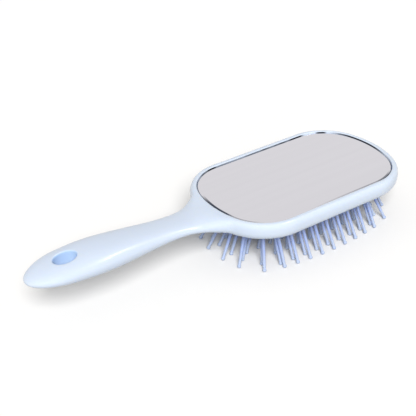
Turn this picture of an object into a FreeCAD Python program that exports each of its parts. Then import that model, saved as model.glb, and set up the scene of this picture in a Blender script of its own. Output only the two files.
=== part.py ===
import FreeCAD, Part
import math
import os
import Sketcher

# A paddle styling brush that lies on its pin tips, with a flat mirror let into the back of the head.
# Frame: +X runs from the handle's tip to the far end of the head, +Z is up, and the origin is the
# centre of the bounding box at the level of the pin tips. All sizes are in millimetres.

SIZES = {
    "overall_length": (237.3, "handle tip to far end of the head"),
    "head_length": (124.5, "head along X without the bulge of its ends"),
    "head_arch": (50.99615, "plan radius of the head's arched ends"),
    "head_width": (77.0, "head along Y"),
    "head_corner": (31.5, "plan radius of the head's corners"),
    "head_thickness": (10.2, "rim top to rim underside"),
    "rim_top_height": (32.9, "rim top above the pin tips"),
    "rim_top_round": (2.6, "rounding of the rim's upper outer edge"),
    "rim_under_round": (4.5, "rounding of the rim's lower outer edge"),
    "rim_width": (4.3, "rim between the head's edge and the mirror recess"),
    "mirror_corner": (25.5, "plan radius of the mirror's corners"),
    "mirror_arch": (53.6125, "plan radius of the mirror's arched ends"),
    "mirror_clearance": (0.25, "gap around the mirror in its recess"),
    "mirror_sink": (0.9, "mirror face below the rim top"),
    "mirror_glass": (1.8, "glass thickness"),
    "mirror_bevel": (0.5, "bevel on the mirror's upper edge"),
    "backing_thickness": (0.2, "film on the back of the glass"),
    "tape_thickness": (0.8, "foam tape between film and recess floor"),
    "tape_length": (18.0, "one tape strip along X"),
    "tape_width": (46.0, "one tape strip along Y"),
    "tape_pitch": (36.0, "distance between tape strips"),
    "web_thickness": (1.6, "wall between mirror recess and air chamber"),
    "wall_width": (6.5, "head's edge to the pad opening"),
    "groove_depth": (2.0, "undercut that holds the pad's flange"),
    "lip_thickness": (1.6, "lip under the groove"),
    "groove_height": (1.6, "height of the groove"),
    "flange_thickness": (1.4, "pad flange"),
    "pad_clearance": (0.3, "gap between pad and head at the sides"),
    "pad_wall": (1.6, "pad skin"),
    "dome_drop": (6.2, "pad crown below the flange underside"),
    "vent_radius": (0.9, "air vent in the middle of the pad"),
    "pin_ball_radius": (1.12, "ball at the tip of a pin"),
    "pin_tip_radius": (0.82, "shank beside the ball"),
    "pin_root_radius": (1.0, "shank at the pad"),
    "pin_button_radius": (1.4, "button on the inner end of a pin"),
    "pin_button_height": (0.8, "thickness of the button"),
    "pin_clearance": (0.3, "gap between a pin and the pad"),
    "run_pitch": (8.5, "distance between pin tips along the head"),
    "hang_share": (0.795, "hang hole's place as a share of the handle's length from the head"),
    "hang_length": (12.8, "oval hang hole along X"),
    "hang_width": (9.2, "oval hang hole along Y"),
    "hang_round": (0.8, "rounding of the hang hole's edges"),
    "tip_drop": (2.1, "tip of the handle below the rim top"),
}

# Handle stations: share of the handle's length from the head, half width, half height and the drop
# of the section's centre below the rim top.
STATIONS = {
    "shoulder": (0.897, 10.9, 4.1, 1.45),
    "hole": (0.789, 13.5, 5.7, 1.50),
    "swell": (0.664, 14.0, 6.6, 1.75),
    "grip": (0.539, 12.9, 6.5, 2.25),
    "waist": (0.414, 11.2, 5.6, 2.70),
    "taper": (0.297, 9.9, 4.6, 3.20),
    "neck": (0.199, 9.7, 4.0, 3.65),
    "throat": (0.119, 11.0, 3.7, 4.15),
    "flare": (0.047, 14.2, 3.7, 4.30),
    "blend": (0.006, 17.0, 3.9, 4.80),
    "root": (-0.024, 18.85, 4.07, 5.13),
}

doc = FreeCAD.newDocument("styling_brush")
sheet = doc.addObject("Spreadsheet::Sheet", "sizes")


def write_sizes():
    """Fill the sheet: one row per size, with its alias on the number."""
    rows = dict(SIZES)
    for station, (share, half_width, half_height, drop) in STATIONS.items():
        rows[station + "_share"] = (share, "share of the handle's length from the head")
        rows[station + "_half_width"] = (half_width, "half width of the section")
        rows[station + "_half_height"] = (half_height, "half height of the section")
        rows[station + "_drop"] = (drop, "section centre below the rim top")
    for row, (alias, (number, note)) in enumerate(rows.items(), start=1):
        sheet.set("A%d" % row, note)
        sheet.set("B%d" % row, str(number))
        sheet.setAlias("B%d" % row, alias)
    doc.recompute()


def value(expression):
    """The number that an expression over the sheet gives."""
    result = sheet.evalExpression(expression)
    return float(getattr(result, "Value", result))


write_sizes()


def bulge(arch, width, corner):
    """How far an arched end stands out past a straight one between the same corners."""
    offset = "(%s - %s)" % (arch, corner)
    rest = "(%s / 2 - %s)" % (width, corner)
    return "(%s - sqrt(%s ^ 2 - %s ^ 2))" % (offset, offset, rest)


HEAD_BULGE = bulge("sizes.head_arch", "sizes.head_width", "sizes.head_corner")
HEAD_CENTRE = "(sizes.overall_length / 2 - %s - sizes.head_length / 2)" % HEAD_BULGE
HANDLE_LENGTH = "(sizes.overall_length - %s - sizes.head_length)" % HEAD_BULGE
HANDLE_END = "(%s - sizes.overall_length / 2)" % HANDLE_LENGTH
HEAD_BOTTOM = "(sizes.rim_top_height - sizes.head_thickness)"
RECESS_LENGTH = "(sizes.head_length - 2 * sizes.rim_width)"
RECESS_WIDTH = "(sizes.head_width - 2 * sizes.rim_width)"
RECESS_CORNER = "(sizes.mirror_corner + sizes.mirror_clearance)"
MIRROR_FACE = "(sizes.rim_top_height - sizes.mirror_sink)"
GLASS_BACK = "(%s - sizes.mirror_glass)" % MIRROR_FACE
FILM_BACK = "(%s - sizes.backing_thickness)" % GLASS_BACK
RECESS_FLOOR = "(%s - sizes.tape_thickness)" % FILM_BACK
WEB_UNDERSIDE = "(%s - sizes.web_thickness)" % RECESS_FLOOR
OPENING_LENGTH = "(sizes.head_length + %s - 2 * sizes.wall_width)" % HEAD_BULGE
OPENING_WIDTH = "(sizes.head_width - 2 * sizes.wall_width)"
OPENING_CORNER = "(sizes.head_corner - sizes.wall_width)"
GROOVE_BOTTOM = "(%s + sizes.lip_thickness)" % HEAD_BOTTOM
FLANGE_BOTTOM = "(%s + (sizes.groove_height - sizes.flange_thickness) / 2)" % GROOVE_BOTTOM
FLANGE_TOP = "(%s + sizes.flange_thickness)" % FLANGE_BOTTOM
PAD_CROWN = "(%s - sizes.dome_drop)" % FLANGE_BOTTOM


def inset(expression, distance):
    """An outline's length or width with both sides moved in by a distance."""
    return "(%s - 2 * (%s))" % (expression, distance)


def rounded_rectangle(body, name, length, width, corner, height, arch=None):
    """A sketch of a rounded rectangle about the head's centre at a height, driven by the sheet.

    Its ends are straight or, with an arch, arcs of that radius that bulge out past the length.
    """
    sketch = body.newObject("Sketcher::SketchObject", name)
    plane = [item for item in body.Origin.OriginFeatures if item.Role == "XY_Plane"][0]
    sketch.AttachmentSupport = [(plane, "")]
    sketch.MapMode = "FlatFace"
    sketch.setExpression("AttachmentOffset.Base.x", HEAD_CENTRE)
    sketch.setExpression("AttachmentOffset.Base.z", height)
    half_length = value(length) / 2
    half_width = value(width) / 2
    radius = value(corner)
    along = half_length - radius
    across = half_width - radius
    turn = 0.0
    if arch:
        end_middle = half_length + value(bulge(arch, width, corner)) - value(arch)
        turn = math.atan2(across, along - end_middle)

    def arc(x, y, size, start, end):
        circle = Part.Circle(FreeCAD.Vector(x, y, 0), FreeCAD.Vector(0, 0, 1), size)
        return sketch.addGeometry(Part.ArcOfCircle(circle, start, end))

    def line(x0, y0, x1, y1):
        return sketch.addGeometry(Part.LineSegment(FreeCAD.Vector(x0, y0, 0), FreeCAD.Vector(x1, y1, 0)))

    half = math.pi / 2
    corners = [
        arc(along, across, radius, turn, half),
        arc(-along, across, radius, half, 2 * half - turn),
        arc(-along, -across, radius, 2 * half + turn, 3 * half),
        arc(along, -across, radius, 3 * half, 4 * half - turn),
    ]
    if arch:
        handle_end = arc(-end_middle, 0, value(arch), 2 * half - turn, 2 * half + turn)
        far_end = arc(end_middle, 0, value(arch), -turn, turn)
    else:
        handle_end = line(-half_length, across, -half_length, -across)
        far_end = line(half_length, -across, half_length, across)
    back = line(along, half_width, -along, half_width)
    front = line(-along, -half_width, along, -half_width)
    for quarter, side in enumerate((back, handle_end, front, far_end)):
        sketch.addConstraint(Sketcher.Constraint("Tangent", corners[quarter], 2, side, 1))
        sketch.addConstraint(Sketcher.Constraint("Tangent", side, 2, corners[(quarter + 1) % 4], 1))
    for side in (back, front):
        sketch.addConstraint(Sketcher.Constraint("Horizontal", side))
    for other in corners[1:]:
        sketch.addConstraint(Sketcher.Constraint("Equal", corners[0], other))
    sketch.addConstraint(Sketcher.Constraint("Symmetric", corners[0], 3, corners[2], 3, -1, 1))
    centres = Sketcher.Constraint("DistanceX", corners[1], 3, corners[0], 3, 2 * along)
    sized = [
        ("corner", Sketcher.Constraint("Radius", corners[0], radius), corner),
        ("centres", centres, inset(length, corner)),
        ("width", Sketcher.Constraint("DistanceY", front, 1, back, 1, 2 * half_width), width),
    ]
    if arch:
        sketch.addConstraint(Sketcher.Constraint("Equal", handle_end, far_end))
        for side in (handle_end, far_end):
            sketch.addConstraint(Sketcher.Constraint("PointOnObject", side, 3, -1))
        sized.append(("arch", Sketcher.Constraint("Radius", far_end, value(arch)), arch))
    else:
        for side in (handle_end, far_end):
            sketch.addConstraint(Sketcher.Constraint("Vertical", side))
    for label, constraint, expression in sized:
        index = sketch.addConstraint(constraint)
        sketch.renameConstraint(index, label)
        sketch.setExpression("Constraints." + label, expression)
    doc.recompute()
    return sketch


def pad(body, name, sketch, length):
    """Raise a sketch by a length from the sheet."""
    feature = body.newObject("PartDesign::Pad", name)
    feature.Profile = sketch
    feature.setExpression("Length", length)
    sketch.Visibility = False
    doc.recompute()
    return feature


def pocket(body, name, sketch, length):
    """Cut a sketch downwards by a length from the sheet."""
    feature = body.newObject("PartDesign::Pocket", name)
    feature.Profile = sketch
    feature.setExpression("Length", length)
    sketch.Visibility = False
    doc.recompute()
    return feature


def edges_at_height(feature, height):
    """Names of a feature's edges that lie flat at a height."""
    names = []
    for index, edge in enumerate(feature.Shape.Edges, start=1):
        box = edge.BoundBox
        if abs(box.ZMin - height) < 1e-4 and abs(box.ZMax - height) < 1e-4:
            names.append("Edge%d" % index)
    return names


def make_head():
    """The head: a rounded slab with the mirror recess above, the air chamber and groove below."""
    body = doc.addObject("PartDesign::Body", "head_blank")
    outline = rounded_rectangle(
        body,
        "head_outline",
        "sizes.head_length",
        "sizes.head_width",
        "sizes.head_corner",
        HEAD_BOTTOM,
        arch="sizes.head_arch",
    )
    slab = pad(body, "head_slab", outline, "sizes.head_thickness")
    upper = body.newObject("PartDesign::Fillet", "rim_upper_round")
    upper.Base = (slab, edges_at_height(slab, value("sizes.rim_top_height")))
    upper.setExpression("Radius", "sizes.rim_top_round")
    doc.recompute()
    lower = body.newObject("PartDesign::Fillet", "rim_lower_round")
    lower.Base = (upper, edges_at_height(upper, value(HEAD_BOTTOM)))
    lower.setExpression("Radius", "sizes.rim_under_round")
    doc.recompute()
    recess = rounded_rectangle(
        body,
        "recess_outline",
        RECESS_LENGTH,
        RECESS_WIDTH,
        RECESS_CORNER,
        "sizes.rim_top_height",
        arch="(sizes.mirror_arch + sizes.mirror_clearance)",
    )
    pocket(body, "mirror_recess", recess, "sizes.rim_top_height - " + RECESS_FLOOR)
    opening = rounded_rectangle(
        body, "opening_outline", OPENING_LENGTH, OPENING_WIDTH, OPENING_CORNER, WEB_UNDERSIDE
    )
    pocket(body, "air_chamber", opening, WEB_UNDERSIDE + " - " + HEAD_BOTTOM)
    groove = rounded_rectangle(
        body,
        "groove_outline",
        "%s + 2 * sizes.groove_depth" % OPENING_LENGTH,
        "%s + 2 * sizes.groove_depth" % OPENING_WIDTH,
        "%s + sizes.groove_depth" % OPENING_CORNER,
        GROOVE_BOTTOM + " + sizes.groove_height",
    )
    pocket(body, "flange_groove", groove, "sizes.groove_height")
    return body


def handle_section(name, along, half_width, half_height, height):
    """An upright ellipse across the handle."""
    section = doc.addObject("Part::Ellipse", name)
    section.Placement = FreeCAD.Placement(
        FreeCAD.Vector(0, 0, 0), FreeCAD.Rotation(FreeCAD.Vector(1, 1, 1), 120)
    )
    section.setExpression("MajorRadius", half_width)
    section.setExpression("MinorRadius", half_height)
    section.setExpression("Placement.Base.x", along)
    section.setExpression("Placement.Base.z", height)
    return section


def make_handle():
    """The handle: a loft through ellipses from its round tip to a root buried in the head."""
    tip = doc.addObject("Part::Vertex", "handle_tip")
    tip.setExpression("X", "-sizes.overall_length / 2")
    tip.setExpression("Z", "sizes.rim_top_height - sizes.tip_drop")
    sections = [tip]
    cap_length = "(1 - sizes.shoulder_share) * %s" % HANDLE_LENGTH
    for number, reach in enumerate((0.985, 0.93, 0.80, 0.52), start=1):
        shrink = math.sqrt(1 - reach**2)
        drop = "(sizes.shoulder_drop + %.4f * (sizes.tip_drop - sizes.shoulder_drop))" % reach
        sections.append(
            handle_section(
                "cap_section_%d" % number,
                "%s - sizes.shoulder_share * %s - %.4f * %s" % (HANDLE_END, HANDLE_LENGTH, reach, cap_length),
                "%.4f * sizes.shoulder_half_width" % shrink,
                "%.4f * sizes.shoulder_half_height" % shrink**0.8,
                "sizes.rim_top_height - " + drop,
            )
        )
    for station in STATIONS:
        sections.append(
            handle_section(
                station + "_section",
                "%s - sizes.%s_share * %s" % (HANDLE_END, station, HANDLE_LENGTH),
                "sizes.%s_half_width" % station,
                "sizes.%s_half_height" % station,
                "sizes.rim_top_height - sizes.%s_drop" % station,
            )
        )
    doc.recompute()
    loft = doc.addObject("Part::Loft", "handle_blank")
    loft.Sections = sections
    loft.Solid = True
    loft.Ruled = False
    doc.recompute()
    return loft


def make_brush_body():
    """Head and handle in one moulding, with the hang hole through the handle."""
    joined = doc.addObject("Part::MultiFuse", "moulding")
    joined.Shapes = [make_head(), make_handle()]
    joined.Refine = True
    oval = doc.addObject("Part::Ellipse", "hang_outline")
    oval.setExpression("MajorRadius", "sizes.hang_length / 2")
    oval.setExpression("MinorRadius", "sizes.hang_width / 2")
    oval.setExpression("Placement.Base.x", "%s - sizes.hang_share * %s" % (HANDLE_END, HANDLE_LENGTH))
    oval.setExpression(
        "Placement.Base.z", "sizes.rim_top_height - sizes.hole_drop - 2 * sizes.hole_half_height"
    )
    bore = doc.addObject("Part::Extrusion", "hang_bore")
    bore.Base = oval
    bore.DirMode = "Custom"
    bore.Dir = FreeCAD.Vector(0, 0, 1)
    bore.setExpression("LengthFwd", "4 * sizes.hole_half_height")
    bore.Solid = True
    doc.recompute()
    pierced = doc.addObject("Part::Cut", "pierced_moulding")
    pierced.Base = joined
    pierced.Tool = bore
    doc.recompute()
    centre = oval.Placement.Base
    reach = value("sizes.hang_length") / 2 + 0.2
    edges = []
    for index, edge in enumerate(pierced.Shape.Edges, start=1):
        box = edge.BoundBox
        inside_x = box.XMin > centre.x - reach and box.XMax < centre.x + reach
        inside_y = box.YMin > -reach and box.YMax < reach
        if inside_x and inside_y and box.ZLength < value("sizes.hole_half_height"):
            edges.append((index, value("sizes.hang_round"), value("sizes.hang_round")))
    rounded = doc.addObject("Part::Fillet", "rounded_moulding")
    rounded.Base = pierced
    rounded.Edges = edges
    doc.recompute()
    rounded.Label = "brush_body"
    return rounded


def make_mirror():
    """The flat mirror glass with a bevelled upper edge."""
    body = doc.addObject("PartDesign::Body", "mirror_plate")
    outline = rounded_rectangle(
        body,
        "mirror_outline",
        inset(RECESS_LENGTH, "sizes.mirror_clearance"),
        inset(RECESS_WIDTH, "sizes.mirror_clearance"),
        "sizes.mirror_corner",
        GLASS_BACK,
        arch="sizes.mirror_arch",
    )
    glass = pad(body, "mirror_blank", outline, "sizes.mirror_glass")
    bevel = body.newObject("PartDesign::Chamfer", "mirror_edge")
    bevel.Base = (glass, edges_at_height(glass, value(MIRROR_FACE)))
    bevel.setExpression("Size", "sizes.mirror_bevel")
    doc.recompute()
    body.Label = "mirror"
    return body


def make_backing():
    """The protective film on the back of the mirror glass."""
    body = doc.addObject("PartDesign::Body", "backing_film")
    outline = rounded_rectangle(
        body,
        "backing_outline",
        inset(RECESS_LENGTH, "2 * sizes.mirror_clearance"),
        inset(RECESS_WIDTH, "2 * sizes.mirror_clearance"),
        "(sizes.mirror_corner - sizes.mirror_clearance)",
        FILM_BACK,
        arch="(sizes.mirror_arch - sizes.mirror_clearance)",
    )
    pad(body, "backing_sheet", outline, "sizes.backing_thickness")
    body.Label = "mirror_backing"
    return body


def make_tapes():
    """Foam tape strips that stick the mirror to the recess floor."""
    strips = []
    for name, step in (("handle_end", -1), ("middle", 0), ("far_end", 1)):
        strip = doc.addObject("Part::Box", "strip_" + name)
        strip.setExpression("Length", "sizes.tape_length")
        strip.setExpression("Width", "sizes.tape_width")
        strip.setExpression("Height", "sizes.tape_thickness")
        strip.setExpression(
            "Placement.Base.x", "%s + %d * sizes.tape_pitch - sizes.tape_length / 2" % (HEAD_CENTRE, step)
        )
        strip.setExpression("Placement.Base.y", "-sizes.tape_width / 2")
        strip.setExpression("Placement.Base.z", RECESS_FLOOR)
        strip.Label = "mirror_tape_" + name
        strips.append(strip)
    doc.recompute()
    return strips


DOME_POWER = 2.2
DOME_STEPS = (0.0, 0.03, 0.10, 0.22, 0.40, 0.62, 0.86)


def dome_share(step):
    """Share of the dome's drop reached at a share of the way in from the edge."""
    return (1 - (1 - step) ** DOME_POWER) ** (1 / DOME_POWER)


def dome_loft(body, name, kind, side, start, drop):
    """A loft from the pad's edge to its crown, the outline set in by side all round."""
    corner = "(%s - sizes.pad_clearance - %s)" % (OPENING_CORNER, side)
    rings = []
    for number, step in enumerate(DOME_STEPS):
        distance = "sizes.pad_clearance + %s + %.3f * %s" % (side, step, corner)
        rings.append(
            rounded_rectangle(
                body,
                "%s_ring_%d" % (name, number),
                inset(OPENING_LENGTH, distance),
                inset(OPENING_WIDTH, distance),
                "%.3f * %s" % (1 - step, corner),
                "%s - %.5f * %s" % (start, dome_share(step), drop),
            )
        )
    loft = body.newObject(kind, name)
    loft.Profile = rings[0]
    loft.Sections = rings[1:]
    doc.recompute()
    for ring in rings:
        ring.Visibility = False
    return loft


INNER_DROP = "(%s - %s - sizes.pad_wall)" % (FLANGE_TOP, PAD_CROWN)


def make_pad_blank():
    """The rubber cushion before its pin holes: a domed skin with a flange that sits in the groove."""
    body = doc.addObject("PartDesign::Body", "pad_blank")
    flange = rounded_rectangle(
        body,
        "flange_outline",
        "%s + 2 * (sizes.groove_depth - sizes.pad_clearance)" % OPENING_LENGTH,
        "%s + 2 * (sizes.groove_depth - sizes.pad_clearance)" % OPENING_WIDTH,
        "%s + sizes.groove_depth - sizes.pad_clearance" % OPENING_CORNER,
        FLANGE_BOTTOM,
    )
    pad(body, "pad_flange", flange, "sizes.flange_thickness")
    dome_loft(body, "pad_dome", "PartDesign::AdditiveLoft", "0", FLANGE_BOTTOM, "sizes.dome_drop")
    dome_loft(body, "pad_hollow", "PartDesign::SubtractiveLoft", "sizes.pad_wall", FLANGE_TOP, INNER_DROP)
    return body


def dome_height(x, y, side, start, drop):
    """Height of the dome at a place measured from the head's centre, its outline set in by side."""
    gap = value("sizes.pad_clearance") + side
    radius = value(OPENING_CORNER) - gap
    past_x = abs(x) - (value(OPENING_LENGTH) / 2 - gap - radius)
    past_y = abs(y) - (value(OPENING_WIDTH) / 2 - gap - radius)
    outside = math.hypot(max(past_x, 0.0), max(past_y, 0.0)) + min(max(past_x, past_y), 0.0)
    step = min(max((radius - outside) / radius, 0.0), 1.0)
    return start - drop * dome_share(step)


class Pin:
    """One pin: a straight shank from a ball at the tip plane to a button inside the pad."""

    def __init__(self, root, tip):
        centre = value(HEAD_CENTRE)
        self.ball = FreeCAD.Vector(centre + tip[0], tip[1], value("sizes.pin_ball_radius"))
        outer = dome_height(root[0], root[1], 0.0, value(FLANGE_BOTTOM), value("sizes.dome_drop"))
        self.root = FreeCAD.Vector(centre + root[0], root[1], outer)
        self.axis = (self.root - self.ball).normalize()
        self.length = self.button_distance()

    def button_distance(self):
        """Distance from the ball to the button's underside, clear of the pad's inner skin."""
        side = value("sizes.pad_wall")
        start = value(FLANGE_TOP)
        drop = value(INNER_DROP)
        gap = value("sizes.pin_clearance")
        radius = value("sizes.pin_button_radius")
        centre = value(HEAD_CENTRE)
        across = self.axis.cross(FreeCAD.Vector(0, 1, 0)).normalize()
        along = self.axis.cross(across)
        distance = (self.root - self.ball).Length
        clear = False
        while not clear:
            distance += 0.05
            middle = self.ball + self.axis * distance
            clear = True
            for turn in range(12):
                angle = turn * math.pi / 6
                point = middle + across * (radius * math.cos(angle)) + along * (radius * math.sin(angle))
                if point.z < dome_height(point.x - centre, point.y, side, start, drop) + gap:
                    clear = False
        return distance

    def placement(self):
        """Turn from upright to the pin's axis, at the ball."""
        return FreeCAD.Placement(self.ball, FreeCAD.Rotation(FreeCAD.Vector(0, 0, 1), self.axis))

    def solid(self):
        """The pin as one turned profile."""
        ball = value("sizes.pin_ball_radius")
        tip = value("sizes.pin_tip_radius")
        root = value("sizes.pin_root_radius")
        button = value("sizes.pin_button_radius")
        top = self.length + value("sizes.pin_button_height")
        neck = math.sqrt(ball**2 - tip**2)
        arc = Part.Arc(
            FreeCAD.Vector(0, 0, -ball), FreeCAD.Vector(ball, 0, 0), FreeCAD.Vector(tip, 0, neck)
        ).toShape()
        corners = [(tip, neck), (root, self.length), (button, self.length), (button, top), (0, top), (0, -ball)]
        points = [FreeCAD.Vector(x, 0, z) for x, z in corners]
        sides = [Part.makeLine(first, second) for first, second in zip(points, points[1:])]
        face = Part.Face(Part.Wire([arc] + sides))
        turned = face.revolve(FreeCAD.Vector(0, 0, 0), FreeCAD.Vector(0, 0, 1), 360)
        turned.Placement = self.placement()
        return turned

    def hole(self):
        """The hole that the pin needs in the pad's skin."""
        radius = value("sizes.pin_root_radius") + value("sizes.pin_clearance")
        start = (self.root - self.ball).Length - 2 * value("sizes.pad_wall")
        drill = Part.makeCylinder(radius, self.length - start, FreeCAD.Vector(0, 0, start))
        drill.Placement = self.placement()
        return drill


# Pin field, measured from the head's centre. Two rings follow the pad's edge and lean outwards; two
# pairs of rows and a middle row fill the centre. Each ring is given by the half length, half width and
# corner radius of its path at the roots and at the tips, with the turns of its corner pins. Runs and
# rows hold as many pins as fit within their reach, alternate rows being set off by half a pitch.
RINGS = {
    "outer": {
        "root": (48.0, 24.6, 21.0),
        "tip": (57.0, 35.5, 30.0),
        "turns": (2.5, 24.5, 52.0),
        "root_bow": 1.6,
        "tip_bow": 3.0,
    },
    "second": {
        "root": (42.5, 20.9, 17.5),
        "tip": (50.2, 30.3, 25.0),
        "turns": (0.5, 20.0, 46.0),
        "root_bow": 0.6,
        "tip_bow": 1.1,
    },
}
RUN_ROOT_SHARE = 0.965
RUN_REACH = 35.0
ROWS = {
    "third_pins_front": {"root": -14.6, "tip": -19.6, "share": 0.90, "reach": 32.0, "offset": 0.5},
    "third_pins_back": {"root": 14.6, "tip": 19.6, "share": 0.90, "reach": 32.0, "offset": 0.5},
    "inner_pins_front": {"root": -7.4, "tip": -9.6, "share": 0.84, "reach": 43.0, "offset": 0.0},
    "inner_pins_back": {"root": 7.4, "tip": 9.6, "share": 0.84, "reach": 43.0, "offset": 0.0},
    "centre_pins": {"root": 0.0, "tip": 0.0, "share": 0.85, "reach": 40.0, "offset": 0.5},
}


def field_scale():
    """Shares by which the pin field grows along X and Y when the pad's opening changes size."""
    return value(OPENING_LENGTH) / 112.8, value(OPENING_WIDTH) / 64.0


def ring_point(path, degrees):
    """A place on the corner of a rounded path, in the first quadrant."""
    half_length, half_width, radius = path
    angle = math.radians(degrees)
    x = half_length - radius + radius * math.cos(angle)
    y = half_width - radius + radius * math.sin(angle)
    return x, y


def places(reach, offset):
    """Places along X, a pitch apart about the head's centre, as far out as the reach allows."""
    pitch = value("sizes.run_pitch")
    count = int(reach * field_scale()[0] / pitch - offset)
    half = [(offset + number) * pitch for number in range(count + 1)]
    return sorted(set([-x for x in half] + half))


def pin_groups():
    """Every group of pins by node name."""
    scale_x, scale_y = field_scale()
    groups = {}
    for ring, path in RINGS.items():
        for side, sign in (("front", -1), ("back", 1)):
            run = []
            for x in places(RUN_REACH, 0.0):
                bow = (x / (RUN_REACH * scale_x)) ** 2
                root = (RUN_ROOT_SHARE * x, sign * (path["root"][1] - path["root_bow"] * bow) * scale_y)
                tip = (x, sign * (path["tip"][1] - path["tip_bow"] * bow) * scale_y)
                run.append(Pin(root, tip))
            groups["%s_pins_%s" % (ring, side)] = run
        for end, way in (("handle", -1), ("far", 1)):
            for side, sign in (("front", -1), ("back", 1)):
                corner = []
                for degrees in path["turns"]:
                    root = ring_point(path["root"], degrees)
                    tip = ring_point(path["tip"], degrees)
                    corner.append(
                        Pin(
                            (way * root[0] * scale_x, sign * root[1] * scale_y),
                            (way * tip[0] * scale_x, sign * tip[1] * scale_y),
                        )
                    )
                groups["%s_pins_%s_%s" % (ring, end, side)] = corner
    for name, row in ROWS.items():
        line = []
        for x in places(row["reach"], row["offset"]):
            line.append(Pin((row["share"] * x, row["root"] * scale_y), (x, row["tip"] * scale_y)))
        groups[name] = line
    return groups


def make_pins(groups):
    """One document object per group of pins."""
    objects = []
    for name, pins in groups.items():
        feature = doc.addObject("Part::Feature", name)
        feature.Shape = Part.makeCompound([pin.solid() for pin in pins])
        feature.Label = name
        objects.append(feature)
    return objects


def make_cushion(groups):
    """The cushion pad with a hole for every pin and the air vent."""
    vent = Part.makeCylinder(
        value("sizes.vent_radius"),
        4 * value("sizes.pad_wall"),
        FreeCAD.Vector(value(HEAD_CENTRE), 0, value(PAD_CROWN) - value("sizes.pad_wall")),
    )
    drills = doc.addObject("Part::Feature", "pad_drills")
    drills.Shape = Part.makeCompound([vent] + [pin.hole() for pins in groups.values() for pin in pins])
    cushion = doc.addObject("Part::Cut", "drilled_pad")
    cushion.Base = make_pad_blank()
    cushion.Tool = drills
    doc.recompute()
    cushion.Label = "cushion_pad"
    return cushion


def export(objects):
    """Check every object and write one STEP file per node."""
    doc.recompute()
    for item in doc.Objects:
        if "Invalid" in item.State or "Error" in item.State:
            raise RuntimeError("%s did not build: %s" % (item.Name, item.State))
    os.makedirs("parts", exist_ok=True)
    for item in objects:
        if item.Shape.isNull() or not item.Shape.isValid():
            raise RuntimeError("%s has no valid shape" % item.Label)
        item.Shape.exportStep("parts/%s.step" % item.Label)
        print(item.Label, len(item.Shape.Solids), round(item.Shape.Volume, 1))


pin_field = pin_groups()
nodes = [make_brush_body(), make_mirror(), make_backing()]
nodes += make_tapes()
nodes.append(make_cushion(pin_field))
nodes += make_pins(pin_field)
export(nodes)
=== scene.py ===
# %% [markdown]
# # A styling brush with a mirror in its back
# The brush lies on its pins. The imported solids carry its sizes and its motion: a moulded body, a flat mirror and
# four zones of pins that press into a rubber cushion. This script gives them the looks of the real thing. Solids
# whose shape is already right, such as the mirror and the pins, only get a finish. The body and the cushion are
# remade as smooth surfaces, because a moulding has no creases and rubber has no sharp edges.

import math

import bmesh
import bpy
import numpy as np
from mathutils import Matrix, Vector


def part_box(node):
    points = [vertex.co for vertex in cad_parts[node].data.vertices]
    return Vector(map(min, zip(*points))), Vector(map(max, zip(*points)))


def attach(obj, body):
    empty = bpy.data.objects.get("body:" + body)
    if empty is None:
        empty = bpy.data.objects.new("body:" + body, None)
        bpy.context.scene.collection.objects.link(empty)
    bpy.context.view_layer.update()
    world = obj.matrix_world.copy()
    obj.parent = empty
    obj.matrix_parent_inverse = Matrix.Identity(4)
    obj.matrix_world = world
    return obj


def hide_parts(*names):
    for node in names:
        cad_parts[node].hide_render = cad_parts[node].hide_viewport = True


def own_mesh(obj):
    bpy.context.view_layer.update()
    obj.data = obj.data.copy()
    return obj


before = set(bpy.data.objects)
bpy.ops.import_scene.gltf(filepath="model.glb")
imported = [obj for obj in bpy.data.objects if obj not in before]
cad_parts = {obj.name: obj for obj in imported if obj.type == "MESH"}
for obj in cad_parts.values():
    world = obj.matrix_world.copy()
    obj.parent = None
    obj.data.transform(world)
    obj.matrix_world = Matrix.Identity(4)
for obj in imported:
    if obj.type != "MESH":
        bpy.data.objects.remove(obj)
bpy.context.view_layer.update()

# %% [markdown]
# ## Sizes from the solids
# The new surfaces have to sit exactly where the solids are, so their main sizes are read from the solids' boxes.
# The surfaces are worked out in millimetres, which suit an object of this size, and are turned into metres at the
# end.

# %% Read the boxes
MM = 0.001


def box_mm(node):
    """Lowest and highest corner of a solid, in millimetres."""
    low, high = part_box(node)
    return np.array(low) / MM, np.array(high) / MM


body_low, body_high = box_mm("brush_body")
handle_tip = body_low[0]
mirror_low, mirror_high = box_mm("mirror")
pad_low, pad_high = box_mm("cushion_pad")
head_centre = (mirror_low[0] + mirror_high[0]) / 2
head_reach = body_high[0] - head_centre
head_side = body_high[1]
print("head centre %.2f, half length %.2f, half width %.2f mm" % (head_centre, head_reach, head_side))

# %% [markdown]
# ## From grids of points to a mesh
# Every new piece is a set of grids: rows of points that run across a surface, and columns that run along it.
# Grids that meet share their border points, so welding close points closes the piece. A closed piece knows inside
# from outside, so the normals can be turned outwards afterwards, and edges sharper than a chosen angle stay
# crisp.

# %% Mesh from grids
WELD = 2e-6


def grid_faces(rows, columns, ring, first):
    """Four-sided faces between neighbouring rows and columns; a ring also joins its last column to its first."""
    row = np.arange(rows - 1)[:, None]
    column = np.arange(columns if ring else columns - 1)[None, :]
    after = (column + 1) % columns
    corners = [row * columns + column, row * columns + after]
    corners += [(row + 1) * columns + after, (row + 1) * columns + column]
    return first + np.stack(np.broadcast_arrays(*corners), axis=-1).reshape(-1, 4)


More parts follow.
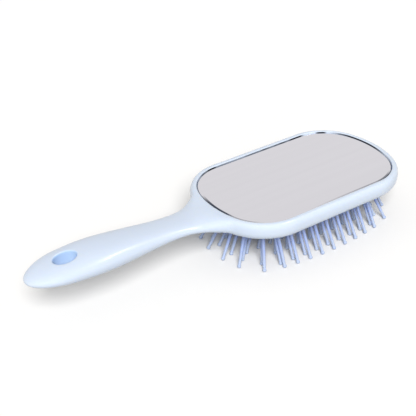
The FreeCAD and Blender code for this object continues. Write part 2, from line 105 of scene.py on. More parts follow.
def piece_from_grids(name, grids, sharp=50.0):
    """One welded mesh object from a list of (points, ring), each points array being rows by columns by 3, in mm."""
    points, faces, first = [], [], 0
    for grid, ring in grids:
        rows, columns = grid.shape[:2]
        points.append(grid.reshape(-1, 3) * MM)
        faces.append(grid_faces(rows, columns, ring, first))
        first += rows * columns
    mesh = bpy.data.meshes.new(name)
    mesh.from_pydata(np.concatenate(points).tolist(), [], np.concatenate(faces).tolist())
    work = bmesh.new()
    work.from_mesh(mesh)
    bmesh.ops.remove_doubles(work, verts=work.verts, dist=WELD)
    bmesh.ops.recalc_face_normals(work, faces=work.faces)
    open_edges = sum(1 for edge in work.edges if not edge.is_manifold)
    work.to_mesh(mesh)
    work.free()
    mesh.shade_smooth()
    mesh.set_sharp_from_angle(angle=math.radians(sharp))
    piece = bpy.data.objects.new(name, mesh)
    bpy.context.scene.collection.objects.link(piece)
    print("%s: %d faces, %d open edges" % (name, len(mesh.polygons), open_edges))
    return piece


# %% [markdown]
# ## The moulded body: its outline from above
# Handle and head are one moulding, so their outline is one line. The head is a rounded rectangle with slightly
# arched ends. The handle's half width is measured at a few stations and joined by a natural cubic spline, which
# has no kinks in its curvature, so highlights run along it without steps. Towards the tip the width is multiplied
# by a circle's height, which closes the end roundly. Where handle and head meet, the larger of the two widths is
# taken with a soft maximum, which fills the corner as a mould's radius does.

# %% Splines and the handle's stations
def spline(x, knots, values):
    """The natural cubic spline: a cubic between each two knots, with equal slopes and bends where they meet."""
    knots, values = np.asarray(knots, float), np.asarray(values, float)
    step = np.diff(knots)
    inner = np.arange(1, len(knots) - 1)
    system = np.eye(len(knots))
    system[inner, inner - 1] = step[:-1]
    system[inner, inner] = 2 * (step[:-1] + step[1:])
    system[inner, inner + 1] = step[1:]
    right = np.zeros(len(knots))
    right[inner] = 6 * np.diff(np.diff(values) / step)
    bend = np.linalg.solve(system, right)
    i = np.clip(np.searchsorted(knots, x) - 1, 0, len(step) - 1)
    left, ahead = knots[i + 1] - x, x - knots[i]
    cubic = (bend[i] * left**3 + bend[i + 1] * ahead**3) / (6 * step[i])
    return (
        cubic
        + (values[i] / step[i] - bend[i] * step[i] / 6) * left
        + (values[i + 1] / step[i] - bend[i + 1] * step[i] / 6) * ahead
    )


station_x = handle_tip + np.array([0.0, 11.5, 23.5, 37.5, 51.5, 65.5, 78.5, 89.5, 98.5, 106.5, 111.0, 115.0])
station_width = np.array([12.2, 12.75, 13.25, 13.7, 12.7, 11.1, 9.8, 9.65, 10.9, 14.1, 17.0, 20.0])
station_height = np.array([4.3, 4.85, 5.7, 6.5, 6.25, 5.3, 4.25, 3.6, 3.4, 3.5, 3.7, 3.9])
station_middle = np.array([30.7, 31.3, 31.4, 31.15, 30.65, 30.2, 29.7, 29.25, 28.7, 28.4, 28.2, 28.0])
print("stations along the handle:", len(station_x))

# %% [markdown]
# ## The moulded body: handle and head in one line
# The handle starts to close beside the hang hole, so that its end is about as round as the hole in it. The head's
# ends are flat arcs that run into the corners without a kink, as the real outline does. One function gives half
# the width at any place along the brush, so that the heights can use it later too.

# %% Half the outline's width
HEAD_CORNER, BULGE = 31.5, 1.3
BLEND = 3.0
TIP_START = handle_tip + 23.5


def tip_share(x):
    """1 along the handle, and past the hang hole the height of a circle that ends at the tip."""
    way = np.clip((TIP_START - x) / (TIP_START - handle_tip), 0, 1)
    return np.sqrt(1 - way**2)


def arch(side, corner, bulge):
    """Radius of an end that is arched outwards by a bulge, and the angle at which it runs into the corner's arc."""
    rest = side - corner
    offset = (bulge**2 + rest**2) / (2 * bulge)
    return corner + offset, math.atan2(rest, offset - bulge)


def half_width(x):
    """Half the outline's width: the soft maximum of the handle's width and the rounded head's."""
    handle = spline(x, station_x, station_width) * tip_share(x)
    radius, turn = arch(head_side, HEAD_CORNER, BULGE)
    corner_x = head_centre - head_reach + BULGE + HEAD_CORNER
    past_corner = np.clip(corner_x - x, 0, None)
    corner = head_side - HEAD_CORNER + np.sqrt(np.clip(HEAD_CORNER**2 - past_corner**2, 0, None))
    past_end = np.clip(head_centre - head_reach + radius - x, 0, None)
    end = np.sqrt(np.clip(radius**2 - past_end**2, 0, None))
    head = np.where(x > corner_x - HEAD_CORNER * math.cos(turn), corner, end)
    return np.maximum(handle, head) + np.clip(BLEND - np.abs(handle - head), 0, None) ** 2 / (4 * BLEND)


print("half widths at the stations:", np.round(half_width(station_x), 2))

# %% [markdown]
# ## The moulded body: columns of points
# The surface is laid out as columns that run from an inner edge out to the outline. On the head the inner edge is
# the mirror's recess or, below, the cushion's opening. On the handle it is the line along the middle, and near
# the tip the hang hole. Only the half with positive Y is laid out; the other half is its mirror image.

# %% Half a rounded rectangle
ALMOST_STRAIGHT = 0.001


def rounded_half(q, reach, side, corner, bulge=ALMOST_STRAIGHT):
    """Half a rounded rectangle about the head's centre, its ends arched outwards by a bulge, however small.

    q goes 0 to 5: end, corner, straight side, corner, end. Round a corner it grows by 1 for a right angle.
    """
    radius, turn = arch(side, corner, bulge)
    p = np.minimum(q, 5 - q)
    meet = 1 + turn / (np.pi / 2)
    end = turn * np.clip(p / meet, 0, 1)
    angle = np.clip(p - 1, 0, 1) * np.pi / 2
    along = (reach - corner) * (1 - 2 * np.clip(p - 2, 0, 0.5)) + corner * np.cos(angle)
    x = np.where(p < meet, reach + bulge - radius * (1 - np.cos(end)), along)
    y = np.where(p < meet, radius * np.sin(end), side - corner + corner * np.sin(angle))
    return head_centre + np.where(q > 2.5, -x, x), y


def steps(start, end, count):
    """Even steps from start up to, but without, end."""
    return np.linspace(start, end, count, endpoint=False)


straight_ends = rounded_half(np.array([0.0, 5.0]), head_reach, head_side, HEAD_CORNER)[0]
print("half a head runs in X from %.2f to %.2f mm" % (straight_ends[0], straight_ends[1]))

# %% [markdown]
# ## The moulded body: spreading the columns
# The columns are spread over the end, the corners and the straight side of the head, then over the flare, the
# grip and the tip. Round the tip the outline turns fast, so there the columns are spaced by the line's own
# length, which is measured on a fine copy of it.

# %% The outline's points
END_COLUMNS, CORNER_COLUMNS, SIDE_COLUMNS, LAST_CORNER_COLUMNS = 16, 36, 34, 30
FLARE_COLUMNS, GRIP_COLUMNS, TIP_COLUMNS = 26, 54, 49
FLARE_Q = 3.74
GRIP_START, GRIP_END = handle_tip + 98.5, handle_tip + 31.0
head_q = np.concatenate(
    [
        steps(0, 1, END_COLUMNS),
        steps(1, 2, CORNER_COLUMNS),
        steps(2, 3, SIDE_COLUMNS),
        steps(3, FLARE_Q, LAST_CORNER_COLUMNS),
    ]
)
head_sizes = (head_reach - BULGE, head_side, HEAD_CORNER, BULGE)
head_x, head_y = rounded_half(head_q, *head_sizes)
flare_start = rounded_half(np.array([FLARE_Q]), *head_sizes)[0][0]
flare_t = steps(0, 1, FLARE_COLUMNS)
flare_x = flare_start + (GRIP_START - flare_start) * flare_t
grip_t = steps(0, 1, GRIP_COLUMNS)
grip_x = GRIP_START + (GRIP_END - GRIP_START) * grip_t
tip_turn = np.linspace(0, np.pi, TIP_COLUMNS)
FINE_STEPS = 4000
fine_x = handle_tip + (GRIP_END - handle_tip) * np.linspace(1, 0, FINE_STEPS) ** 2
fine_y = half_width(fine_x)
fine_run = np.concatenate([[0], np.cumsum(np.hypot(np.diff(fine_x), np.diff(fine_y)))])
tip_run = fine_run[-1] * (tip_turn / np.pi) ** 2.0
tip_x = np.interp(tip_run, fine_run, fine_x)
outline_x = np.concatenate([head_x, flare_x, grip_x, tip_x])
outline_y = half_width(outline_x)
far_half = np.flatnonzero(head_x > head_centre)
outline_y[far_half] = head_y[far_half]
outline_y[-1] = 0
recess_columns = len(head_x) + len(flare_x) + 1
hole_start = len(head_x) + len(flare_x) + len(grip_x)
print("columns on half the outline:", len(outline_x))

# %% [markdown]
# ## The moulded body: inner edges
# Each column also needs its inner end. The ends go round the recess or the opening, close on the middle of the
# handle and open again round the hang hole, in the same order as the outline's points, so that no two columns
# cross. A column that leaves the head's corner is led a little further round the inner corner.

# %% Inner edges and the mirrored half
INNER_Q = 3.80
hole_x = handle_tip + 22.87


def inner_edge(reach, side, corner, bulge, hole_reach, hole_side):
    """The columns' inner ends: a rounded rectangle, then the middle line of the handle, then the hole's oval."""
    q = np.where(head_q > 3, 3 + (head_q - 3) * (INNER_Q - 3) / (FLARE_Q - 3), head_q)
    q = np.concatenate([q, INNER_Q + (5 - INNER_Q) * flare_t])
    x, y = rounded_half(q, reach, side, corner, bulge)
    line_start = head_centre - reach - bulge
    middle = grip_x + (line_start - GRIP_START) * (1 - grip_t) ** 3 + (hole_x + hole_reach - GRIP_END) * grip_t**3
    x = np.concatenate([x, middle, hole_x + hole_reach * np.cos(tip_turn)])
    y = np.concatenate([y, 0 * middle, hole_side * np.sin(tip_turn)])
    y[-1] = 0
    return x, y


def whole_ring(x, y, z):
    """A ring of points from its half with positive Y: there, and back again on the other side."""
    half = np.stack(np.broadcast_arrays(x, y, z), axis=-1)
    return np.concatenate([half, (half * (1, -1, 1))[..., -2:0:-1, :]], axis=-2)


print("columns all round:", whole_ring(outline_x, outline_y, 0.0).shape[0])

# %% [markdown]
# ## The moulded body: heights
# Across the handle the section is a superellipse, an oval with slightly full sides. Round the head the rim is a
# quarter of a superellipse, fuller on top, where it stands up beside the mirror, and rounder below. A smooth step
# along X leads from one to the other, so the neck has no crease. Both close on the outline at the same height,
# which keeps the top and the underside joined.

# %% Heights of top and underside
RIM_TOP, HEAD_BOTTOM, HEAD_EDGE = 32.9, 22.7, 27.8
OVAL, RIM_POWER, UNDER_POWER = 2.3, 2.7, 2.3
NECK_START, NECK_END = handle_tip + 91.0, handle_tip + 114.5
SKIN_ROWS = 19


def smooth_step(x, start, end):
    """0 before start, 1 after end; between them the polynomial of fifth degree with no jump in slope or bend."""
    t = np.clip((x - start) / (end - start), 0, 1)
    return t**3 * (10 - 15 * t + 6 * t**2)


def quarter(share, power):
    """Height of a unit superellipse at a share of its half width: share and height, raised to the power, add to 1."""
    return np.clip(1 - np.clip(np.abs(share), 0, 1) ** power, 0, None) ** (1 / power)


def body_height(x, y, share, way):
    """Height of the top (way 1) or the underside (way -1): the handle's oval, blended into the head's rim.

    The oval depends on Y, the rim on share, which runs from the inner edge, 0, to the outline, 1.
    """
    head = smooth_step(x, NECK_START, NECK_END)
    middle = (1 - head) * spline(x, station_x, station_middle) + head * HEAD_EDGE
    oval = spline(x, station_x, station_height) * tip_share(x) * quarter(y / np.maximum(half_width(x), 1e-6), OVAL)
    drop = RIM_TOP - HEAD_EDGE if way > 0 else HEAD_EDGE - HEAD_BOTTOM
    rim = drop * quarter(share, RIM_POWER if way > 0 else UNDER_POWER)
    return middle + way * ((1 - head) * oval + head * rim)


def skin(edge, way):
    """One skin of the moulding, as rows from the inner edge to the outline, crowded towards the outline."""
    share = np.sin(np.linspace(0, np.pi / 2, SKIN_ROWS))[:, None]
    x = edge[0] + (outline_x - edge[0]) * share
    y = edge[1] + (outline_y - edge[1]) * share
    z = body_height(x, y, share, way)
    z[-1] = body_height(outline_x, outline_y, 1.0, 1)
    return whole_ring(x, y, z)


print("rim %.1f mm above the head's underside" % (RIM_TOP - HEAD_BOTTOM))

# %% [markdown]
# ## The moulded body: recess, air chamber and hang hole
# The remaining walls start at the inner edges of the two skins. The mirror's recess goes down to a flat floor.
# Below, the opening has a groove that traps the cushion's flange and ends at a flat web. The hang hole has
# rounded mouths. Each wall is a short profile of (step inwards, height), carried round its edge.

# %% Walls and floors
FLOOR_SHARES = (0.35, 0.7, 1.0)
ROUND_ROWS = 7
NO_HOLE = (1.0, 1.0)


def recess_wall(profile, reach, side, corner, bulge):
    """A profile of (step inwards, height) carried round a rounded rectangle, then closed by a flat floor."""
    rings = []
    for step, height in profile:
        x, y = inner_edge(reach - step, side - step, corner - step, bulge, *NO_HOLE)
        rings.append((x[:recess_columns], y[:recess_columns], height))
    x, y, height = rings[-1]
    spine = np.clip(x, head_centre - reach + side, head_centre + reach - side)
    floor = [(x + (spine - x) * k, y * (1 - k), height) for k in FLOOR_SHARES]
    half = np.stack([np.stack(np.broadcast_arrays(*ring), axis=-1) for ring in rings + floor])
    return np.concatenate([half[:, :0:-1] * (1, -1, 1), half], axis=1)


def hole_wall(top_edge, under_edge, reach, side, round_radius):
    """The hang hole: quarter rounds from both skins into a straight oval bore."""
    turn = np.linspace(0, np.pi / 2, ROUND_ROWS)
    off_axis = np.abs(tip_turn - np.pi / 2) < np.pi / 2 - 1e-9
    rows = []
    for edge, way in ((top_edge, 1), (under_edge, -1)):
        start = body_height(edge[0][hole_start:], edge[1][hole_start:], 0.0, way)
        out = round_radius * (1 - np.sin(turn))[:, None]
        z = start - way * round_radius * (1 - np.cos(turn))[:, None]
        x = hole_x + (reach + out) * np.cos(tip_turn)
        y = (side + out) * np.sin(tip_turn) * off_axis
        rows.append(np.stack(np.broadcast_arrays(x, y, z), axis=-1))
    half = np.concatenate([rows[0], rows[1][::-1]])
    return np.concatenate([half, (half * (1, -1, 1))[:, -2::-1]], axis=1)


# %% [markdown]
# ## The moulded body: the walls' sizes
# Recess and opening are given by half their length, half their width and their corner. The recess has an eased
# edge, so that it does not cut the fingers, and the opening a rounded lip, over which the cushion's flange is
# pushed in.

# %% Profiles of the walls
RECESS = (57.95, 34.2, 25.75)
OPENING = (56.4, 32.0, 25.0)
EASE, RECESS_FLOOR = 0.5, 29.2
LIP, GROOVE_DEPTH, GROOVE_BOTTOM, GROOVE_TOP, WEB_UNDER = 0.7, 2.0, 24.3, 25.9, 27.6
HOLE_REACH, HOLE_SIDE, HOLE_ROUND = 6.4, 4.6, 0.8
quarter_turn = np.radians([0, 22.5, 45, 67.5, 90])
recess_profile = [(EASE * math.sin(a), RIM_TOP - EASE + EASE * math.cos(a)) for a in quarter_turn]
recess_profile += [(EASE, RECESS_FLOOR)]
chamber_profile = [(LIP * math.sin(a), HEAD_BOTTOM + LIP - LIP * math.cos(a)) for a in quarter_turn]
chamber_profile += [(LIP, GROOVE_BOTTOM), (LIP - GROOVE_DEPTH, GROOVE_BOTTOM)]
chamber_profile += [(LIP - GROOVE_DEPTH, GROOVE_TOP), (LIP, GROOVE_TOP), (LIP, WEB_UNDER)]
recess_sizes = [size + EASE for size in RECESS] + [BULGE]
opening_sizes = [size + LIP for size in OPENING] + [ALMOST_STRAIGHT]
hole_mouth = (HOLE_REACH + HOLE_ROUND, HOLE_SIDE + HOLE_ROUND)
top_edge = inner_edge(*recess_sizes, *hole_mouth)
under_edge = inner_edge(*opening_sizes, *hole_mouth)
print("steps in the recess %d, in the chamber %d" % (len(recess_profile), len(chamber_profile)))

# %% [markdown]
# ## The moulded body: all surfaces together
# Two skins, two recesses and the wall of the hang hole share their border points, so they weld into one closed
# piece. It takes the place of the body's solid and rides on the same body as the mirror.

# %% Build the body
body_shell = piece_from_grids(
    "body_shell",
    [
        (skin(top_edge, 1), True),
        (skin(under_edge, -1), True),
        (recess_wall(recess_profile, *recess_sizes), False),
        (recess_wall(chamber_profile, *opening_sizes), False),
        (hole_wall(top_edge, under_edge, HOLE_REACH, HOLE_SIDE, HOLE_ROUND), False),
    ],
)
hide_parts("brush_body")
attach(body_shell, "brush")

# %% [markdown]
# ## The rubber cushion
# The pins stand in a domed skin of rubber with air behind it. Its flange sits in the body's groove. The skin is a
# profile of (way in from the edge, height) carried round a rounded rectangle and drawn together on the line along
# its middle. As the pins are pressed, the dome flattens towards its flange.

# %% The dome
FLANGE_TOP, FLANGE_BOTTOM = 25.8, 24.4
FLANGE_CORNER, FLANGE_WIDTH, FLANGE_EASE = 26.7, 2.0, 0.35
DOME_DROP, DOME_REACH, DOME_POWER, PAD_WALL = 6.2, 24.7, 2.2, 1.6
DOME_RINGS, RINGS_CROWDED = 34, 1.6
flange_reach = (pad_high[0] - pad_low[0]) / 2
flange_side = pad_high[1]
ring_q = [steps(0, 1, 3), steps(1, 2, 30), steps(2, 3, 34), steps(3, 4, 30), np.linspace(4, 5, 4)]
ring_q = np.concatenate(ring_q)


def dome_height(way_in):
    """Height of the dome's outer skin: a superellipse's quarter that falls from the edge to a flat crown."""
    return FLANGE_BOTTOM - DOME_DROP * quarter(1 - np.clip(way_in / DOME_REACH, 0, 1), DOME_POWER)


def ring_at(way_in):
    """A closed ring at a way in from the flange's edge, up to the line along the middle."""
    x, y = rounded_half(ring_q, flange_reach, flange_side, FLANGE_CORNER)
    spine = np.clip(x, head_centre - flange_reach + flange_side, head_centre + flange_reach - flange_side)
    k = way_in / flange_side
    y = y * (1 - k)
    y[[0, -1]] = 0
    return x + (spine - x) * k, y


ways = FLANGE_WIDTH + (flange_side - FLANGE_WIDTH) * np.linspace(0, 1, DOME_RINGS) ** RINGS_CROWDED
outer = [(way, dome_height(way - FLANGE_WIDTH)) for way in ways]
inner_start = FLANGE_WIDTH + PAD_WALL
inner = [(max(way, inner_start), min(dome_height(way - inner_start) + PAD_WALL, FLANGE_TOP)) for way in ways[::-1]]
rim = [(FLANGE_WIDTH, FLANGE_TOP), (FLANGE_EASE, FLANGE_TOP), (0.0, FLANGE_TOP - FLANGE_EASE)]
rim += [(0.0, FLANGE_BOTTOM + FLANGE_EASE), (FLANGE_EASE, FLANGE_BOTTOM)]
profile = inner + rim + outer
cushion = piece_from_grids(
    "cushion_skin",
    [(np.stack([whole_ring(*ring_at(way), height) for way, height in profile]), True)],
)
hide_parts("cushion_pad")
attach(cushion, "brush")

# %% [markdown]
# ## Collars round the pins
# Where a pin leaves the rubber, the skin thickens into a small round collar. Its section is an ellipse carried
# round the pin's axis, so each collar is a small ring. The pins' places are the ones that the solids use: two
# rounded rings along the edge and five straight rows inside them.

# %% The pins' places
PITCH = 8.5
RUN_REACH = 35.0
QUADRANTS = np.array([(1, 1), (1, -1), (-1, 1), (-1, -1)])


def corner_places(reach, side, radius, degrees):
    """Places on the four corners of a rounded path, at the given turns."""
    angle = np.radians(degrees)
    first = np.column_stack([reach - radius + radius * np.cos(angle), side - radius + radius * np.sin(angle)])
    return (QUADRANTS[:, None] * first).reshape(-1, 2)


def row_places(count, share, side, bow=0.0):
    """Two rows along X, a pitch apart about the middle, at Y of minus and plus side, drawn in towards their ends."""
    place = (np.arange(count) - (count - 1) / 2) * PITCH
    y = side - bow * (place / RUN_REACH) ** 2
    return np.column_stack([np.tile(place * share, 2), np.concatenate([-y, y])])


# Corners: the turns, then (reach, side, radius) of the path at the roots and at the tips.
CORNERS = [
    ((2.5, 24.5, 52.0), (48.0, 24.6, 21.0), (57.0, 35.5, 30.0)),
    ((0.5, 20.0, 46.0), (42.5, 20.9, 17.5), (50.2, 30.3, 25.0)),
]
# Pairs of rows: pins in a row, the roots' share of the pitch, then (side, bow) at the roots and at the tips.
ROWS = [
    (9, 0.965, (24.6, 1.6), (35.5, 3.0)),
    (9, 0.965, (20.9, 0.6), (30.3, 1.1)),
    (8, 0.90, (14.6, 0.0), (19.6, 0.0)),
    (11, 0.84, (7.4, 0.0), (9.6, 0.0)),
]
CENTRE_PINS, CENTRE_SHARE = 10, 0.85
roots = [corner_places(*root, turns) for turns, root, tip in CORNERS]
roots += [row_places(count, share, *root) for count, share, root, tip in ROWS]
roots += [row_places(CENTRE_PINS, CENTRE_SHARE, 0.0)[:CENTRE_PINS]]
roots = np.concatenate(roots)
tips = [corner_places(*tip, turns) for turns, root, tip in CORNERS]
tips += [row_places(count, 1.0, *tip) for count, share, root, tip in ROWS]
tips += [row_places(CENTRE_PINS, 1.0, 0.0)[:CENTRE_PINS]]
tips = np.concatenate(tips)
print("pins:", len(roots))

# %% [markdown]
# ## The collars themselves
# Every collar sits on the dome, so its height comes from the same formula as the dome's skin. Its hole leaves
# room for the pin, which keeps its slant while the rubber flattens.

# %% The collars
BALL = 1.12
DOME_GAP = 0.3


def way_in_from_edge(x, y):
    """Distance inwards from the dome's edge, as if the outline were a rounded rectangle all the way in."""
    reach, side, corner = (size - DOME_GAP for size in OPENING)
    dx = np.clip(np.abs(x) - (reach - corner), 0, None)
    dy = np.clip(np.abs(y) - (side - corner), 0, None)
    straight = np.minimum(reach - np.abs(x), side - np.abs(y))
    return np.where((dx > 0) & (dy > 0), corner - np.hypot(dx, dy), straight)


def collar_grid(middle, spread, rise, around=10, across=6):
    """Rings of elliptic section about every pin's axis, at the height of the dome there."""
    root = np.column_stack([roots[:, 0] + head_centre, roots[:, 1], dome_height(way_in_from_edge(*roots.T))])
    ball = np.column_stack([tips[:, 0] + head_centre, tips[:, 1], np.full(len(tips), BALL)])
    axis = root - ball
    axis /= np.linalg.norm(axis, axis=1, keepdims=True)
    side = np.cross(axis, (0.0, 1.0, 0.0))
    side /= np.linalg.norm(side, axis=1, keepdims=True)
    over = np.cross(axis, side)
    u = np.linspace(0, 2 * np.pi, around, endpoint=False)[None, :, None, None]
    v = np.linspace(0, 2 * np.pi, across, endpoint=False)[None, None, :, None]
    radius = middle + spread * np.cos(v)
    flat = side[:, None, None] * np.cos(u) + over[:, None, None] * np.sin(u)
    return root[:, None, None] + flat * radius + axis[:, None, None] * rise * np.sin(v)


collar_points = collar_grid(middle=1.86, spread=0.54, rise=0.7)
collar_grids = [(np.concatenate([grid, grid[:1]]), True) for grid in collar_points]
collars = piece_from_grids("pin_collars", collar_grids, sharp=80.0)
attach(collars, "brush")

# %% [markdown]
# ## Finishes: a way to write shaders
# A shader is a small sum: noise times a strength, plus a base. The class below wraps one output of a node, so
# that such sums can be written as Python, and each operator adds the Math node it stands for.

# %% A wire of a shader
class Wire:
    """One output of a node; sums, differences and products of wires add Math nodes."""

    def __init__(self, recipe, socket):
        self.recipe = recipe
        self.socket = socket

    def math(self, operation, first, second):
        """A Math node on two values, each a wire or a number."""
        return self.recipe.add("Math", {"operation": operation}, {0: first, 1: second})

    def __add__(self, other):
        return self.math("ADD", self, other)

    def __radd__(self, other):
        return self.math("ADD", other, self)

    def __sub__(self, other):
        return self.math("SUBTRACT", self, other)

    def __rsub__(self, other):
        return self.math("SUBTRACT", other, self)

    def __mul__(self, other):
        return self.math("MULTIPLY", self, other)

    def __rmul__(self, other):
        return self.math("MULTIPLY", other, self)


# %% [markdown]
# ## Finishes: the node tree
# All nodes go in through one method, which takes the node's kind, its settings and its sockets. A few more
# methods give names to what every finish needs: noise, a smooth step, a blend of two colours, a bump, and the
# surface itself.

# %% A recipe of nodes
class Recipe:
    """The node tree of a material or of the world, empty at first."""

    def __init__(self, owner):
        owner.use_nodes = True
        self.name = owner.name
        self.tree = owner.node_tree
        self.tree.nodes.clear()

    def add(self, kind, settings=None, sockets=None, out=0):
        """Adds a node of that kind: its settings first, then a value or a wire for each socket. Gives one output."""
        node = self.tree.nodes.new("ShaderNode" + kind)
        for name, value in (settings or {}).items():
            setattr(node, name, value)
        for name, value in (sockets or {}).items():
            if isinstance(value, Wire):
                self.tree.links.new(value.socket, node.inputs[name])
            else:
                node.inputs[name].default_value = value
        return Wire(self, node.outputs[out]) if node.outputs else node

    def noise(self, scale, detail=2.0, stretch=(1, 1, 1)):
        """Noise in object coordinates, from 0 to 1, its grain shortened along an axis by a larger stretch."""
        place = self.add("TexCoord", out="Object")
        place = self.add("Mapping", sockets={"Vector": place, "Scale": stretch})
        return self.add("TexNoise", sockets={"Vector": place, "Scale": scale, "Detail": detail})

    def axes(self):
        """The object's own coordinates, one wire each."""
        place = self.add("TexCoord", out="Object")
        split = self.add("SeparateXYZ", sockets={0: place})
        return [Wire(self, socket) for socket in split.socket.node.outputs]

    def step(self, value, start, end):
        """0 before start, 1 after end, and a smooth way between them."""
        sockets = {"Value": value, "From Min": start, "From Max": end}
        return self.add("MapRange", {"interpolation_type": "SMOOTHSTEP"}, sockets)

    def blend(self, share, first, second):
        """A colour between two colours."""
        return self.add("Mix", {"data_type": "RGBA"}, {"Factor": share, 6: first, 7: second}, out=2)

    def bump(self, height, distance, strength=1.0):
        """A normal tilted by a height pattern."""
        return self.add("Bump", sockets={"Height": height, "Distance": distance, "Strength": strength})

    def surface(self, **sockets):
        """The Principled shader, named sockets in words with underscores, joined to the output."""
        named = {name.replace("_", " "): value for name, value in sockets.items()}
        shader = self.add("BsdfPrincipled", sockets=named)
        self.add("OutputMaterial", sockets={"Surface": shader})
        print("finish %s: %d nodes" % (self.name, len(self.tree.nodes)))


def finish(name):
    """A new material and the recipe that fills it."""
    material = bpy.data.materials.new(name)
    return material, Recipe(material)


def from_screen(red, green, blue):
    """A colour as a screen shows it, 0 to 255, turned into the light it stands for."""
    share = np.array([red, green, blue]) / 255
    light = np.where(share <= 0.04045, share / 12.92, ((share + 0.055) / 1.055) ** 2.4)
    return (*light.tolist(), 1.0)


# %% [markdown]
# ## The painted shade line round the mirror
# The shade in the gap between glass and rim, and its dark reflection in the glass's bevelled edge, are painted as
# a dark line round the mirror, on the recess wall and on the bevel. It is bold at both ends, thinner along the back
# and almost gone along the front. Body and mirror share this line, so its darkness is worked out once, from places
# given from the head's centre.

# %% Where the line is dark
def way_inside(x, y, reach, side, corner, bulge):
    """Wires for the way in from a rounded rectangle: in a corner from its arc, elsewhere from the nearer edge."""
    radius, turn = arch(side, corner, bulge)
    x, y = x.math("ABSOLUTE", x - head_centre * MM, 0.0), y.math("ABSOLUTE", y, 0.0)
    dx, dy = x - (reach - corner), y - (side - corner)
    to_end = x - (reach + bulge - radius)
    past_end = x.math("SQRT", to_end * to_end + y * y, 0.0) - (radius - corner)
    past_corner = x.math("SQRT", dx * dx + dy * dy, 0.0)
    wedge = x.math("GREATER_THAN", dx, 0.0) * x.math("GREATER_THAN", math.cos(turn) * dy - math.sin(turn) * dx, 0.0)
    return corner - wedge * past_corner - (1 - wedge) * x.math("MAXIMUM", dy, past_end)


def from_centre(*places):
    """Places along X, given from the head's centre in mm, as the object's own coordinates in metres."""
    return [(head_centre + place) * MM for place in places]


def near(recipe, x, y, place, reach):
    """1 at a place given from the head's centre in mm, falling to 0 at a reach from it."""
    dx, dy = x - (head_centre + place[0]) * MM, y - place[1] * MM
    return recipe.step(dx * dx + dy * dy, (reach * MM) ** 2, 0.0)


def marks(recipe, x, y, places):
    """The sum of soft spots, each a (weight, place, reach)."""
    return sum(weight * near(recipe, x, y, place, reach) for weight, place, reach in places)


THIN_PLACES = [(0.35, (-20.0, 34.0), 15.0)]
BOLD_PLACES = [(1.0, (59.0, 8.0), 23.0), (1.0, (-59.0, 1.5), 14.0), (1.0, (46.0, 30.0), 4.0)]
BOLD_PLACES += [(0.4, (-34.5, 34.0), 4.0), (0.4, (29.5, 34.0), 6.0), (0.5, (40.5, -32.6), 6.0)]


# Painted shade: a dark line for the shade in the gap round the mirror and its dark reflection in the bevel.
def painted_shade_line(recipe, x, y):
    """How dark the painted shade line is: a faint base, the back edge in patches, and bold stretches by place."""
    patches = recipe.noise(130.0, 2.0)
    span = recipe.step(x, *from_centre(-47, -41)) * recipe.step(x, *from_centre(37, 32))
    thin = 1 - marks(recipe, x, y, THIN_PLACES)
    back = span * thin * recipe.step(y, 29 * MM, 31 * MM) * (0.25 + 0.9 * patches)
    return x.math("MINIMUM", 0.05 + back + marks(recipe, x, y, BOLD_PLACES), 1.0)


print("places where the line is bold:", len(BOLD_PLACES))

# %% [markdown]
# ## Finish of the body: pale blue gloss plastic
# The body is an injection moulding, tinted through and polished. Its colour wanders a little where the tint is
# thicker or thinner, its gloss is slightly uneven from handling, and the surface has the faint ripple that
# moulders call orange peel. The hang hole's wall is painted a deeper blue, as painted shade for the shade inside
# the hole and the light that comes through the plastic there: an oval mask, the squares of the two ways across it
# added up, marks it. The recess wall beside the mirror carries the painted shade line.

# %% Body plastic
body_plastic, recipe = finish("pale_blue_plastic")
drift = recipe.noise(16.0, 2.0)
handling = recipe.noise(60.0, 4.0, (0.35, 1.0, 1.0))
ripple = recipe.noise(420.0, 2.0)
x, y, z = recipe.axes()
along = (x - hole_x * MM) * (1 / (HOLE_REACH * MM))
across = y * (1 / (HOLE_SIDE * MM))
# Painted shade: a deeper blue on the hang hole's wall, for the shade inside the hole and the light through the
# plastic.
hole_shade_share = recipe.step(along * along + across * across, 1.3, 1.02)
recess_metres = [size * MM for size in RECESS]
in_recess = recipe.step(way_inside(x, y, *recess_metres, BULGE * MM), -0.3 * MM, -0.1 * MM)
on_wall = recipe.step(z, 28.0 * MM, 28.5 * MM) * recipe.step(z, 32.7 * MM, 32.4 * MM)
# Painted shade: the recess wall beside the mirror is darkened along the painted shade line, for the shade in the gap.
painted_seat_shade = in_recess * on_wall * painted_shade_line(recipe, x, y)
plain = recipe.blend(drift, from_screen(205, 217, 235), from_screen(212, 223, 239))
tinted = recipe.blend(hole_shade_share, plain, from_screen(184, 209, 240))
recipe.surface(
    Base_Color=recipe.blend(painted_seat_shade, tinted, from_screen(34, 39, 50)),
    Roughness=0.24 + 0.10 * handling,
    Normal=recipe.bump(ripple, 0.00004, 0.5),
    Subsurface_Weight=0.12,
    Subsurface_Radius=(0.003, 0.004, 0.006),
    Subsurface_Scale=1.0,
    Coat_Weight=0.25,
    Coat_Roughness=0.08,
)
body_shell.data.materials.append(body_plastic)

# %% [markdown]
# ## Finish of the cushion: soft rubber
# The rubber is tinted like the pins and dull, with a fine grain and a dusty mottle. Its darkness is painted shade,
# which keeps the space under the head dark.

# %% Cushion rubber
rubber, recipe = finish("dark_shade_rubber")
mottle = recipe.noise(90.0, 4.0)
grain = recipe.noise(1500.0, 2.0)
recipe.surface(
    # Painted shade: the rubber's dark blue-grey keeps the gaps between the pins dark.
    Base_Color=recipe.blend(mottle, from_screen(92, 101, 120), from_screen(108, 117, 138)),
    Roughness=0.55 + 0.2 * mottle,
    Normal=recipe.bump(grain, 0.00005, 0.6),
)
cushion.data.materials.append(rubber)
collars.data.materials.append(rubber)
